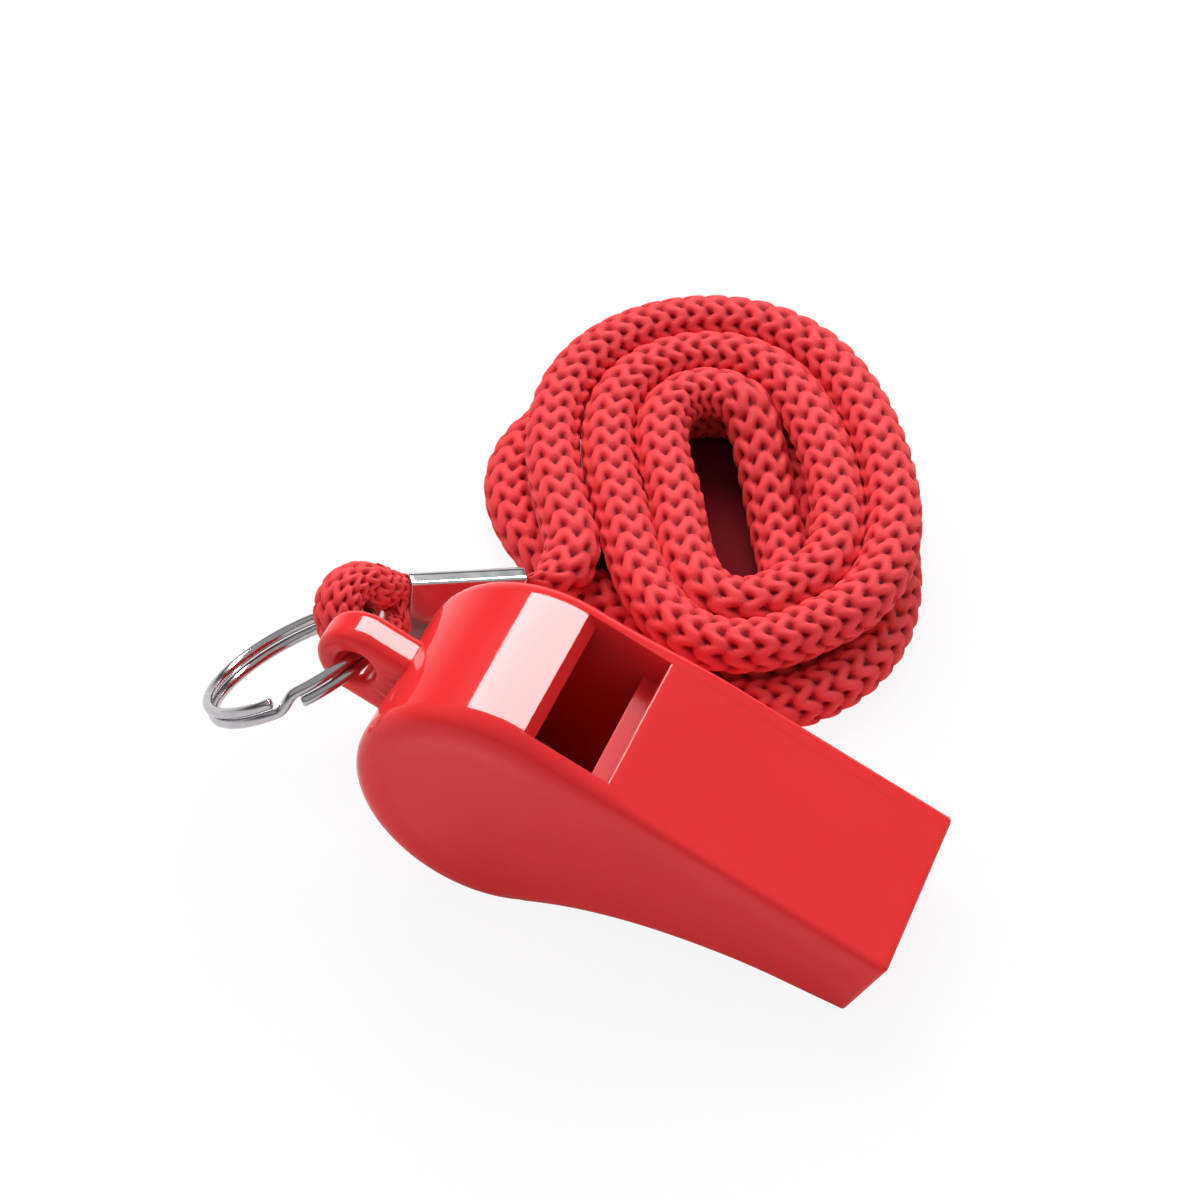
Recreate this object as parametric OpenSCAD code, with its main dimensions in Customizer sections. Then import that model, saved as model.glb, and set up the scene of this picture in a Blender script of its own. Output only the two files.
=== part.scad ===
// Pea whistle with a lug, a split ring and a knitted neck cord wound into a flat pile.
// The whistle lies on its belly, mouthpiece along +X. The table is z = 0.

/* [Whistle body] */
// Width across the two flat sides
body_w = 19; // [17:0.5:22]
// Outside radius of the round chamber end
barrel_r = 12.25; // [11.5:0.25:13.5]
// Reach of the top face from the chamber axis to the tip
reach = 37.4; // [34:0.2:42]
// Height of the mouthpiece at its tip
tip_h = 8.5; // [7.5:0.25:9.5]
// How far the lower lip of the tip stands back from the upper
tip_rake = 0.3; // [0:0.1:1]
// Radius of the hollow curve under the mouthpiece
belly_r = 42; // [36:1:50]
// Slope of the straight run under the tip, in degrees
belly_slope = 10.3; // [8:0.1:12]
// Wall round the chamber and under the mouthpiece
barrel_wall = 1.25; // [1:0.05:1.5]
// Thickness of each flat side
side_wall = 2; // [1.5:0.1:2.5]
// Thickness of the mouthpiece roof
roof_t = 1.4; // [1.1:0.1:1.8]

/* [Windway and window] */
// Height of the air slot
windway_h = 2.1; // [1.6:0.1:2.6]
// Length of the sound window along the whistle
window_l = 8.6; // [7.5:0.1:9]
// Distance from the chamber axis back to the window's rear edge
window_back = 0.5; // [0:0.1:1]
// Length and drop of the bevelled edge that splits the air
bevel = 1.2; // [0.8:0.1:1.25]
// Clearance of the windway block in its pocket
block_gap = 0.05; // [0.02:0.01:0.08]

/* [Pea] */
// Diameter of the pea
pea_d = 9.2; // [8:0.2:10]
// Clearance between the pea and the chamber wall
pea_gap = 0.3; // [0.2:0.05:0.6]

/* [Lug] */
// Thickness of the lug
lug_t = 4; // [3.4:0.2:4.6]
// Radius of the lug's round end
lug_r = 4.1; // [3.8:0.1:4.6]
// Distance from the chamber axis to the lug's hole, along the top face
lug_reach = 15.9; // [15.5:0.1:17]
// How far the hole lies below the chamber axis
lug_drop = 0.55; // [0:0.05:1]
// Diameter of the lug's hole
lug_hole_d = 3.9; // [3.8:0.1:4.4]
// Chamfer at both mouths of the lug's hole
lug_chamfer = 0.5; // [0.3:0.1:0.7]

/* [Split ring] */
// Radius of the ring to the middle of its wire
ring_r = 9; // [8.6:0.2:10]
// Diameter of the ring's wire
wire_d = 1; // [0.8:0.05:1.1]
// Gap between the ring's two turns
turn_gap = 0.1; // [0.05:0.01:0.15]

/* [Crimp sleeve] */
// Outside diameter of the sleeve
sleeve_d = 7.5; // [7.2:0.1:8]
// Wall of the sleeve
sleeve_wall = 0.4; // [0.3:0.05:0.5]
// Length of the sleeve
sleeve_l = 11.5; // [10.5:0.5:12.5]

/* [Cord] */
// Diameter of the knitted cord
cord_d = 4.5; // [4.2:0.1:4.6]
// Half length of the pile's outer loop, to the middle of the cord
pile_long = 25.6; // [25:0.2:27]
// Half width of the pile's outer loop, to the middle of the cord
pile_wide = 17.8; // [17.4:0.2:19]
// Room that one turn of the cord takes beside the next
turn_pitch = 5.6; // [5.5:0.05:5.8]
// Room that one layer of the cord takes above the other
layer_rise = 5.1; // [5.1:0.05:5.5]

/* [Hidden] */
$fn = 96;
// overrun of every cut past the surface that it opens
over = 1;
plastic = "#e2393d";
cord_red = "#c92f35";

// shape functions
function unit(v) = v / norm(v);
function smooth(x) = let (c = min(max(x, 0), 1)) c * c * (3 - 2 * c);
function mix(a, b, t) = a * (1 - t) + b * t;
function arc(c, r, a0, a1, n) = [for (i = [0:n]) let (a = a0 + (a1 - a0) * i / n) c + r * [cos(a), sin(a)]];

// Side view of the whistle in its own axes: x to the tip, y up, chamber axis at zero.
// The belly is an arc that touches the barrel from below and ends in a straight run to the tip.
tip_low = [reach - tip_rake, barrel_r - tip_h];
run_dir = [cos(belly_slope), sin(belly_slope)];
run_out = [sin(belly_slope), -cos(belly_slope)];
belly_from = tip_low + belly_r * run_out;
belly_back = belly_from * run_dir
    - sqrt(pow(belly_from * run_dir, 2) - belly_from * belly_from + pow(barrel_r + belly_r, 2));
belly_mid = belly_from - belly_back * run_dir;
belly_a0 = 180 + atan2(belly_mid[1], belly_mid[0]);
belly_a1 = 90 + belly_slope;
belly_steps = 24;
barrel_steps = 60;
// turn past the tangent point at which the pocket's lower wall starts, in degrees
pocket_turn = 3;
belly = arc(belly_mid, belly_r, belly_a0, belly_a1, belly_steps);
outline = concat(arc([0, 0], barrel_r, 90, belly_a0 + 180, barrel_steps),
                 [for (i = [1:belly_steps]) belly[i]], [tip_low, [reach, barrel_r]]);

// inside of the whistle
inner_w = body_w - 2 * side_wall;
chamber_r = barrel_r - barrel_wall;
roof_z = barrel_r - roof_t;
floor_z = roof_z - windway_h;
function under(wall, lift) = concat(
    arc(belly_mid, belly_r + wall + lift, belly_a0 - pocket_turn, belly_a1, belly_steps),
    [tip_low - (wall + lift) * run_out + 2 * over * run_dir]);
window_front = window_l - window_back;
split_y = body_w / 2 - side_wall;

// The whistle rests on the barrel and the lower lip of the tip.
rest_tilt = atan2(tip_low[1], tip_low[0]) + asin(barrel_r / norm(tip_low));
function laid(p) = [p[0] * cos(rest_tilt) + p[2] * sin(rest_tilt), p[1],
                    p[2] * cos(rest_tilt) - p[0] * sin(rest_tilt)];

// pea: it lies at the bottom of the chamber and runs round the chamber's axis
pea_orbit = chamber_r - pea_gap - pea_d / 2;

// Split ring: lean and heading of its axis, and the places round it, in degrees.
ring_lean = 33.8;
ring_heading = 158.7;
lug_angle = 195;
eye_angle = 276;
jog_angle = 139;
jog_half = 11;
// the wire's knees at the jog are a touch fuller than the wire
knee_share = 1.04;
end_back = 4;
hole_at = laid([-lug_reach, 0, -lug_drop]);
ring_x = [cos(ring_lean) * cos(ring_heading), cos(ring_lean) * sin(ring_heading), -sin(ring_lean)];
ring_y = [-sin(ring_heading), cos(ring_heading), 0];
ring_axis = cross(ring_x, ring_y);
function spoke(a) = cos(a) * ring_x + sin(a) * ring_y;
ring_mid = hole_at - ring_r * spoke(lug_angle);
turn_rise = wire_d + turn_gap;
function ring_far(k) = ring_r * sqrt(1 - pow(ring_axis[k], 2)) + wire_d / 2 + abs(ring_axis[k]) * turn_rise / 2;

// The origin is under the middle of the whistle and its ring, at table level.
x_hi = laid([reach, 0, barrel_r])[0];
x_lo = ring_mid[0] - ring_far(0);
y_hi = max(body_w / 2, ring_mid[1] + ring_far(1));
y_lo = min(-body_w / 2, ring_mid[1] - ring_far(1));
origin = [(x_hi + x_lo) / 2, (y_hi + y_lo) / 2, -barrel_r];

// The cord's eye goes round the ring's wire at eye_at, and the sleeve closes it.
eye_at = ring_mid + ring_r * spoke(eye_angle);
wire_dir = unit(cross(ring_axis, spoke(eye_angle)));
sleeve_heading = 36;
sleeve_dip = 11.5;
sleeve_dir = [cos(sleeve_dip) * cos(sleeve_heading), cos(sleeve_dip) * sin(sleeve_heading), -sin(sleeve_dip)];
rim_from_eye = [2.7, 3.9, -3.4];
sleeve_rim = eye_at + rim_from_eye;
sleeve_end = sleeve_rim + sleeve_l * sleeve_dir;
sleeve_bore = sleeve_d - 2 * sleeve_wall;
// gap between the eye's ends and the leads' ends in the middle of the sleeve
butt_gap = 0.4;
// the cord is pressed flat where two strands share the sleeve, and where it bears on the wire
pinch_gap = 0.12;
pinch_a = sleeve_bore / 4 - pinch_gap;
pinch_b = 2.2;
pinch_off = sleeve_bore / 4;
bend_a = 1.7;
bend_b = 2.7;
wire_room = 0.4;
bend_r = wire_d + turn_gap / 2 + wire_room + bend_a;

// Cord pile: two layers of oval loops. Lengths of the route are counted in turns of the cord.
pile_at = [4.5, 41.8];
pile_heading = -54.5;
pile_lean = [0.7, 1.7];
pile_floor = 0.25;
turns_in = 2.33;
turns_climb = 0.54;
turns_out = 2;
pile_turns = turns_in + turns_climb + turns_out;
start_angle = -45;
egg_share = 0.05;
flat_share = 1.5;
climb_share = 0.35;
out_share = 0.35;
// the lowest loop bulges out on the side toward the sleeve, between these angles
bulge = 7.5;
bulge_angle = 252;
bulge_half = 55;
// the innermost of the low loops leans in over the middle, by a share of a turn's room
lean_share = 0.25;
lean_from = 1.6;
lean_in = 0.4;
lean_back = 2;
lean_out = 0.3;
// the upper loops stand out along the whistle, between these angles
stand_out = 3;
stand_angle = 322;
stand_half = 54;
rings_per_turn = 24;
low_z = -barrel_r + pile_floor + cord_d / 2;

function tanh_(x) = (exp(x) - exp(-x)) / (exp(x) + exp(-x));
function climb(s) = min(max((s - turns_in) / turns_climb, 0), 1);
function turns_from_rim(s) =
    s < turns_in
        ? s + lean_share * smooth((s - lean_from) / lean_in) * (1 - smooth((s - lean_back) / lean_out)) :
    s < turns_in + turns_climb
        ? mix(turns_in, turns_out, smooth((climb(s) - out_share) / (1 - out_share)))
        : pile_turns - s;
function pile_point(s) =
    let (a = start_angle + 360 * s,
         wave = bulge * smooth(1 - abs(a - bulge_angle) / bulge_half),
         lift = smooth(climb(s) / climb_share),
         away = a - stand_angle - 360 * round((a - stand_angle) / 360),
         stand = lift * stand_out * smooth(1 - abs(away) / stand_half),
         r = pile_wide - turn_pitch * turns_from_rim(s) + wave + stand,
         u = (pile_long - pile_wide) * tanh_(flat_share * cos(a)) / tanh_(flat_share) + r * cos(a),
         v = r * sin(a) * (1 - egg_share * cos(a)),
         c = pile_at + lift * pile_lean)
    [c[0] + u * cos(pile_heading) - v * sin(pile_heading),
     c[1] + u * sin(pile_heading) + v * cos(pile_heading),
     low_z + lift * layer_rise];
pile_steps = floor(rings_per_turn * pile_turns);
wound = [for (i = [0:pile_steps]) pile_point(pile_turns * i / pile_steps)];
wound_start = unit(wound[1] - wound[0]);
wound_end = unit(wound[pile_steps] - wound[pile_steps - 1]);
coil_low = wound[0] - cord_d * wound_start;
coil_high = wound[pile_steps] + cord_d * wound_end;
coil_route = concat([coil_low], wound, [coil_high]);

// Least gap of the wound cord to itself, measured between points more than half a turn apart.
apart = rings_per_turn / 2;
least_gap = min([for (i = [0:pile_steps]) for (j = [i + apart:1:pile_steps])
    norm(wound[i] - wound[j])]) - cord_d;
wound_length = len(wound) < 2 ? 0 : [for (i = [1:pile_steps]) norm(wound[i] - wound[i - 1])]
    * [for (i = [1:pile_steps]) 1];
echo(least_gap = least_gap, wound_length = wound_length, origin = origin, hole_at = hole_at - origin,
     eye_at = eye_at - origin, wire_dir = wire_dir, rest_tilt = rest_tilt, ring_axis = ring_axis,
     sleeve_rim = sleeve_rim - origin, sleeve_end = sleeve_end - origin, sleeve_dir = sleeve_dir,
     coil_low = coil_low - origin, coil_high = coil_high - origin);

// routes of the two leads between the sleeve and the pile, with their middle points chosen by hand
lead_side = unit(cross(sleeve_dir, [0, 0, 1]));
butt_low = sleeve_end - (sleeve_l - butt_gap) / 2 * sleeve_dir + pinch_off * lead_side;
butt_high = sleeve_end - (sleeve_l - butt_gap) / 2 * sleeve_dir - pinch_off * lead_side;
mouth_low = sleeve_end + pinch_off * lead_side;
mouth_high = sleeve_end - pinch_off * lead_side;
low_middle = [[-4.9, 19.1, -6.4], [-2.1, 19.9, -8.7]];
high_middle = [[-7.15, 22.8, -5.1], [-6.25, 25.1, -5], [-6.25, 27.65, -4.8]];
low_route = concat([butt_low, mouth_low], low_middle, [coil_low]);
high_route = concat([butt_high, mouth_high], high_middle, [coil_high]);

// smooth curve through the points of a route, with end directions given
function knot_dir(p, i, d0, d1) =
    i == 0 ? d0 * norm(p[1] - p[0]) :
    i == len(p) - 1 ? d1 * norm(p[i] - p[i - 1]) :
    unit(p[i + 1] - p[i - 1]) * min(norm(p[i + 1] - p[i]), norm(p[i] - p[i - 1]));
function hermite(a, da, b, db, t) =
    (2 * t * t * t - 3 * t * t + 1) * a + (t * t * t - 2 * t * t + t) * da
    + (3 * t * t - 2 * t * t * t) * b + (t * t * t - t * t) * db;
function through(p, d0, d1, n) = concat(
    [for (i = [0:len(p) - 2]) for (j = [0:n - 1])
        hermite(p[i], knot_dir(p, i, d0, d1), p[i + 1], knot_dir(p, i + 1, d0, d1), j / n)],
    [p[len(p) - 1]]);
lead_steps = 3;

// Tube of oval section: route, half width and half height at each point, and the width's direction.
module tube(route, half, side, sides, d0, d1) {
    n = len(route);
    dirs = [for (i = [0:n - 1]) i == 0 ? d0 : i == n - 1 ? d1 : unit(route[i + 1] - route[i - 1])];
    rings = [for (i = [0:n - 1]) let (s = unit(side[i] - (side[i] * dirs[i]) * dirs[i]), t = cross(dirs[i], s))
        for (k = [0:sides - 1]) let (a = 360 * (k + 0.5) / sides)
            route[i] + half[i][0] * cos(a) * s + half[i][1] * sin(a) * t];
    last = n * sides;
    wall = [for (i = [0:n - 2]) for (k = [0:sides - 1])
        let (a = i * sides + k, b = i * sides + (k + 1) % sides) each
            [[a, a + sides, b], [b, a + sides, b + sides]]];
    first_cap = [for (k = [0:sides - 1]) [last, k, (k + 1) % sides]];
    last_cap = [for (k = [0:sides - 1]) let (o = last - sides) [last + 1, o + (k + 1) % sides, o + k]];
    polyhedron(points = concat(rings, [route[0], route[n - 1]]), faces = concat(wall, first_cap, last_cap));
}

module placed() translate(-origin) children();
module whistle_axes() placed() rotate([90 + 0, 0, 0]) rotate([0, 0, -rest_tilt]) children();
// slab of a side view between two distances from the middle plane
module slab(y0, y1) translate([0, 0, -y1]) linear_extrude(y1 - y0) children();
module along(at, dir) {
    translate(at) rotate([0, acos(dir[2]), atan2(dir[1], dir[0])]) children();
}

module lug_profile() {
    translate([-lug_reach, -lug_drop]) circle(lug_r);
    translate([-lug_reach, -lug_drop - lug_r]) square([lug_reach, 2 * lug_r]);
}

module pocket_profile() {
    polygon(concat([[0, 0]], under(barrel_wall, 0), [[reach + 2 * over, roof_z], [0, roof_z]]));
}

module body_shell() color(plastic) whistle_axes() {
    difference() {
        union() {
            slab(-body_w / 2, split_y) polygon(outline);
            slab(-lug_t / 2, lug_t / 2) lug_profile();
        }
        slab(-inner_w / 2, split_y + over) circle(chamber_r);
        slab(-inner_w / 2, split_y + over) pocket_profile();
        // sound window with its bevelled rear edge
        slab(-inner_w / 2, split_y + over) polygon([
            [-window_back, barrel_r + over], [-window_back, barrel_r], [bevel - window_back, barrel_r - bevel],
            [bevel - window_back, floor_z], [window_front, floor_z], [window_front, barrel_r + over]]);
        translate([-lug_reach, -lug_drop, -lug_t / 2 - over])
            cylinder(d = lug_hole_d, h = lug_t + 2 * over);
        for (m = [0, 1]) mirror([0, 0, m]) translate([-lug_reach, -lug_drop, lug_t / 2 - lug_chamfer])
            cylinder(d1 = lug_hole_d, d2 = lug_hole_d + 2 * (lug_chamfer + over), h = lug_chamfer + over);
    }
}

module side_cover() color(plastic) whistle_axes() slab(split_y, body_w / 2) polygon(outline);

module windway_block() color(plastic) whistle_axes() {
    half = inner_w / 2 - block_gap;
    difference() {
        slab(-half, half) intersection() {
            polygon(outline);
            polygon(concat([[0, 0]], under(barrel_wall, block_gap), [[reach + 2 * over, floor_z], [0, floor_z]]));
        }
        slab(-inner_w / 2, inner_w / 2) circle(chamber_r + block_gap);
    }
}

module pea() color("#b98a5a") placed() translate([0, 0, -pea_orbit]) sphere(d = pea_d);

// one turn of the ring's wire, as an arc between two angles
module wire_arc(a0, a1) {
    rotate([0, 0, a0]) rotate_extrude(angle = a1 - a0) translate([ring_r, 0]) circle(d = wire_d);
}

module wire_jog() {
    lo = [ring_r * cos(-jog_half), ring_r * sin(-jog_half), -turn_rise / 2];
    hi = [ring_r * cos(jog_half), ring_r * sin(jog_half), turn_rise / 2];
    translate(lo) sphere(d = knee_share * wire_d);
    translate(hi) sphere(d = knee_share * wire_d);
    along(lo, unit(hi - lo)) cylinder(d = wire_d, h = norm(hi - lo));
}

module split_ring() color("silver") placed() translate(ring_mid)
    rotate([0, 0, ring_heading]) rotate([0, ring_lean, 0]) rotate([0, 0, jog_angle]) {
        translate([0, 0, -turn_rise / 2]) wire_arc(jog_half + end_back, 360 - jog_half);
        translate([0, 0, turn_rise / 2]) wire_arc(jog_half, 360 - jog_half - end_back);
        wire_jog();
    }

module crimp_sleeve() color("silver") placed() along(sleeve_rim, sleeve_dir) difference() {
    cylinder(d = sleeve_d, h = sleeve_l);
    translate([0, 0, -over]) cylinder(d = sleeve_bore, h = sleeve_l + 2 * over);
}

// Fold of the cord round the ring's wire: two legs from the sleeve and a half circle between them.
module cord_eye() color(cord_red) placed() {
    to_rim = sleeve_rim - eye_at;
    leg_dir = unit(to_rim - (to_rim * wire_dir) * wire_dir);
    across = cross(wire_dir, leg_dir);
    split = unit(across - (across * sleeve_dir) * sleeve_dir);
    butt = sleeve_rim + (sleeve_l - butt_gap) / 2 * sleeve_dir;
    leg_n = 6;
    bend_n = 10;
    pull = norm(to_rim);
    leg = [for (i = [0:leg_n - 1]) let (t = i / leg_n)
        [hermite(sleeve_rim + pinch_off * split, -sleeve_dir * pull, eye_at + bend_r * across, -leg_dir * pull, t),
         [mix(pinch_a, bend_a, smooth(t)), mix(pinch_b, bend_b, smooth(t))]]];
    back = [for (i = [0:leg_n - 1]) let (t = i / leg_n)
        [hermite(sleeve_rim - pinch_off * split, -sleeve_dir * pull, eye_at - bend_r * across, -leg_dir * pull, t),
         [mix(pinch_a, bend_a, smooth(t)), mix(pinch_b, bend_b, smooth(t))]]];
    bend = [for (i = [0:bend_n]) let (a = 180 * i / bend_n)
        [eye_at + bend_r * (cos(a) * across - sin(a) * leg_dir), [bend_a, bend_b]]];
    all = concat([[butt + pinch_off * split, [pinch_a, pinch_b]]], leg, bend,
                 [for (i = [leg_n - 1:-1:0]) back[i]], [[butt - pinch_off * split, [pinch_a, pinch_b]]]);
    n = len(all);
    // outward direction of the fold, so that the section's width stays in the fold's plane
    out = [for (i = [0:n - 1]) let (d = i == 0 ? -sleeve_dir : i == n - 1 ? sleeve_dir
        : unit(all[i + 1][0] - all[i - 1][0])) cross(wire_dir, d)];
    tube([for (p = all) p[0]], [for (p = all) p[1]], out, 10, -sleeve_dir, sleeve_dir);
}

// a lead: pinched in the sleeve, round outside it
module lead(route, d1) {
    line = through(route, sleeve_dir, d1, lead_steps);
    n = len(line);
    half = [for (i = [0:n - 1]) let (t = smooth((i - lead_steps) / (n - 1 - 2 * lead_steps)))
        [mix(pinch_a, cord_d / 2, t), mix(pinch_b, cord_d / 2, t)]];
    tube(line, half, [for (p = line) lead_side], 8, sleeve_dir, d1);
}
module cord_lead_low() color(cord_red) placed() lead(low_route, wound_start);
module cord_lead_high() color(cord_red) placed() lead(high_route, -wound_end);

module lanyard_coil() color(cord_red) placed()
    tube(coil_route, [for (p = coil_route) [cord_d / 2, cord_d / 2]],
         [for (i = [0:len(coil_route) - 1]) let (j = min(max(i, 1), len(coil_route) - 2))
             cross(coil_route[j + 1] - coil_route[j - 1], [0, 0, 1])], 6, wound_start, wound_end);

body_shell();
side_cover();
windway_block();
pea();
split_ring();
crimp_sleeve();
cord_eye();
cord_lead_low();
cord_lead_high();
lanyard_coil();
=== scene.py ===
import math

import bmesh
import bpy
import numpy as np
from mathutils import Matrix, Vector


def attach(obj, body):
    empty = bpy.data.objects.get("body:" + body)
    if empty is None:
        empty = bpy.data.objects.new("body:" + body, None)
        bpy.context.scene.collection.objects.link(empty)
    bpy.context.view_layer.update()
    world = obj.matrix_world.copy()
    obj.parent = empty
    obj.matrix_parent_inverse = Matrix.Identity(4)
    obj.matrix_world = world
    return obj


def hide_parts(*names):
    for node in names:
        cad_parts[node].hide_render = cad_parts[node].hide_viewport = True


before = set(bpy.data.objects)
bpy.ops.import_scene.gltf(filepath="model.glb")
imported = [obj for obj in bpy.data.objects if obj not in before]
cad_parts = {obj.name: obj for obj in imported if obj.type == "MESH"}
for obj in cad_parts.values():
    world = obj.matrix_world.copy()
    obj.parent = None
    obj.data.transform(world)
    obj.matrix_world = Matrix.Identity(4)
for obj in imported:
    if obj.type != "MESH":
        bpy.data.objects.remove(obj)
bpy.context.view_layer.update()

MM = 0.001

# Sizes in millimetres, the same as in the part's source.
BODY_W, BARREL_R, REACH, TIP_H, TIP_RAKE = 19.0, 12.25, 37.4, 8.5, 0.3
BELLY_R, BELLY_SLOPE = 42.0, math.radians(10.3)
BARREL_WALL, SIDE_WALL, ROOF_T = 1.25, 2.0, 1.4
WINDWAY_H, WINDOW_L, WINDOW_BACK, BEVEL = 2.1, 8.6, 0.5, 1.2
LUG_T, LUG_R, LUG_REACH, LUG_DROP, LUG_HOLE = 4.0, 4.1, 15.9, 0.55, 3.9
RING_R, WIRE_D, TURN_GAP = 9.0, 1.0, 0.1
SLEEVE_WALL, SLEEVE_L = 0.4, 11.5
PILE_LONG, PILE_WIDE, TURN_PITCH, LAYER_RISE, CORD_D = 25.6, 17.8, 5.6, 5.1, 4.5


def unit(v):
    v = np.asarray(v, float)
    return v / np.linalg.norm(v)


def smooth(x):
    x = np.clip(x, 0.0, 1.0)
    return x * x * (3 - 2 * x)


def mix(a, b, t):
    return a * (1 - t) + b * t


# Side view of the whistle: x towards the tip, z up, chamber axis at zero.
TIP_LOW = np.array([REACH - TIP_RAKE, BARREL_R - TIP_H])
RUN_DIR = np.array([math.cos(BELLY_SLOPE), math.sin(BELLY_SLOPE)])
RUN_OUT = np.array([math.sin(BELLY_SLOPE), -math.cos(BELLY_SLOPE)])
BELLY_FROM = TIP_LOW + BELLY_R * RUN_OUT
BELLY_RUN = BELLY_FROM @ RUN_DIR
BELLY_BACK = BELLY_RUN - math.sqrt(BELLY_RUN ** 2 - BELLY_FROM @ BELLY_FROM + (BARREL_R + BELLY_R) ** 2)
BELLY_MID = BELLY_FROM - BELLY_BACK * RUN_DIR
BELLY_A0 = math.pi + math.atan2(BELLY_MID[1], BELLY_MID[0])
BELLY_A1 = math.pi / 2 + BELLY_SLOPE
CHAMBER_R = BARREL_R - BARREL_WALL
ROOF_Z = BARREL_R - ROOF_T
FLOOR_Z = ROOF_Z - WINDWAY_H
TILT = math.atan2(TIP_LOW[1], TIP_LOW[0]) + math.asin(BARREL_R / np.linalg.norm(TIP_LOW))


def laid(p):
    """Turns a point of the side view onto its resting tilt on the table."""
    p = np.asarray(p, float)
    x, y, z = p[..., 0], p[..., 1], p[..., 2]
    c, s = math.cos(TILT), math.sin(TILT)
    return np.stack([x * c + z * s, y, z * c - x * s], -1)


# Split ring
RING_LEAN, RING_HEADING = math.radians(33.8), math.radians(158.7)
LUG_ANGLE, EYE_ANGLE, JOG_ANGLE = math.radians(195), math.radians(276), math.radians(139)
HOLE = laid([-LUG_REACH, 0, -LUG_DROP])
RX = np.array([math.cos(RING_LEAN) * math.cos(RING_HEADING), math.cos(RING_LEAN) * math.sin(RING_HEADING),
               -math.sin(RING_LEAN)])
RY = np.array([-math.sin(RING_HEADING), math.cos(RING_HEADING), 0])
RN = np.cross(RX, RY)


def spoke(a):
    return math.cos(a) * RX + math.sin(a) * RY


RING_MID = HOLE - RING_R * spoke(LUG_ANGLE)
TURN_RISE = WIRE_D + TURN_GAP


def ring_far(k):
    return RING_R * math.sqrt(1 - RN[k] ** 2) + WIRE_D / 2 + abs(RN[k]) * TURN_RISE / 2


X_HI, X_LO = laid([REACH, 0, BARREL_R])[0], RING_MID[0] - ring_far(0)
Y_HI = max(BODY_W / 2, RING_MID[1] + ring_far(1))
Y_LO = min(-BODY_W / 2, RING_MID[1] - ring_far(1))
ORIGIN = np.array([(X_HI + X_LO) / 2, (Y_HI + Y_LO) / 2, -BARREL_R])

# Eye, sleeve and cord
EYE = RING_MID + RING_R * spoke(EYE_ANGLE)
WIRE_DIR = unit(np.cross(RN, spoke(EYE_ANGLE)))
SLEEVE_HEADING, SLEEVE_DROP = math.radians(36), math.radians(11.5)
SLEEVE_DIR = np.array([math.cos(SLEEVE_DROP) * math.cos(SLEEVE_HEADING),
                       math.cos(SLEEVE_DROP) * math.sin(SLEEVE_HEADING), -math.sin(SLEEVE_DROP)])
RIM = EYE + np.array([2.7, 3.9, -3.4])
SLEEVE_END = RIM + SLEEVE_L * SLEEVE_DIR
# the cord's ends are pressed thin inside the sleeve: half thickness and height, and each end's place across it
BUTT_GAP, PINCH_A, PINCH_B, PINCH_OFF, PINCH_MID = 0.4, 0.46, 2.7, 0.5, 1.18
# half thickness and height of the fold round the wire
BEND_A, BEND_B = 1.7, 2.7
BEND_R = WIRE_D + TURN_GAP / 2 + 0.4 + BEND_A

PILE_AT, PILE_HEADING, PILE_LEAN = np.array([4.5, 41.8]), math.radians(-54.5), np.array([0.7, 1.7])
TURNS_IN, TURNS_CLIMB, TURNS_OUT = 2.33, 0.54, 2.0
PILE_TURNS = TURNS_IN + TURNS_CLIMB + TURNS_OUT
LOW_Z = -BARREL_R + 0.25 + CORD_D / 2


def pile(s):
    """The wound cord's centre line at s turns from its start: inwards below, up, and outwards above."""
    a = -45 + 360 * s
    climb = np.clip((s - TURNS_IN) / TURNS_CLIMB, 0, 1)
    low = s + 0.25 * smooth((s - 1.6) / 0.4) * (1 - smooth((s - 2.0) / 0.3))
    rim = np.where(s < TURNS_IN, low, np.where(s < TURNS_IN + TURNS_CLIMB,
                   mix(TURNS_IN, TURNS_OUT, smooth((climb - 0.35) / 0.65)), PILE_TURNS - s))
    lift = smooth(climb / 0.35)
    away = a - 322 - 360 * np.round((a - 322) / 360)
    r = (PILE_WIDE - TURN_PITCH * rim + 7.5 * smooth(1 - np.abs(a - 252) / 55)
         + 3 * lift * smooth(1 - np.abs(away) / 54))
    ca, sa = np.cos(np.radians(a)), np.sin(np.radians(a))
    u = (PILE_LONG - PILE_WIDE) * np.tanh(1.5 * ca) / math.tanh(1.5) + r * ca
    v = r * sa * (1 - 0.05 * ca)
    ch, sh = math.cos(PILE_HEADING), math.sin(PILE_HEADING)
    return np.stack([PILE_AT[0] + lift * PILE_LEAN[0] + u * ch - v * sh,
                     PILE_AT[1] + lift * PILE_LEAN[1] + u * sh + v * ch, LOW_Z + lift * LAYER_RISE], -1)


def hermite(a, da, b, db, t):
    """Curve from a to b with the end directions da and db."""
    t = np.asarray(t, float)[:, None]
    return ((2 * t ** 3 - 3 * t ** 2 + 1) * a + (t ** 3 - 2 * t ** 2 + t) * da
            + (3 * t ** 2 - 2 * t ** 3) * b + (t ** 3 - t ** 2) * db)


def through(p, d0, d1, n):
    """Smooth curve through the points p, leaving along d0 and arriving along d1."""
    p = [np.asarray(q, float) for q in p]

    def knot(i):
        if i == 0:
            return unit(d0) * np.linalg.norm(p[1] - p[0])
        if i == len(p) - 1:
            return unit(d1) * np.linalg.norm(p[i] - p[i - 1])
        return unit(p[i + 1] - p[i - 1]) * min(np.linalg.norm(p[i + 1] - p[i]), np.linalg.norm(p[i] - p[i - 1]))

    out = [hermite(p[i], knot(i), p[i + 1], knot(i + 1), np.arange(n) / n) for i in range(len(p) - 1)]
    return np.concatenate(out + [p[-1][None]])


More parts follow.
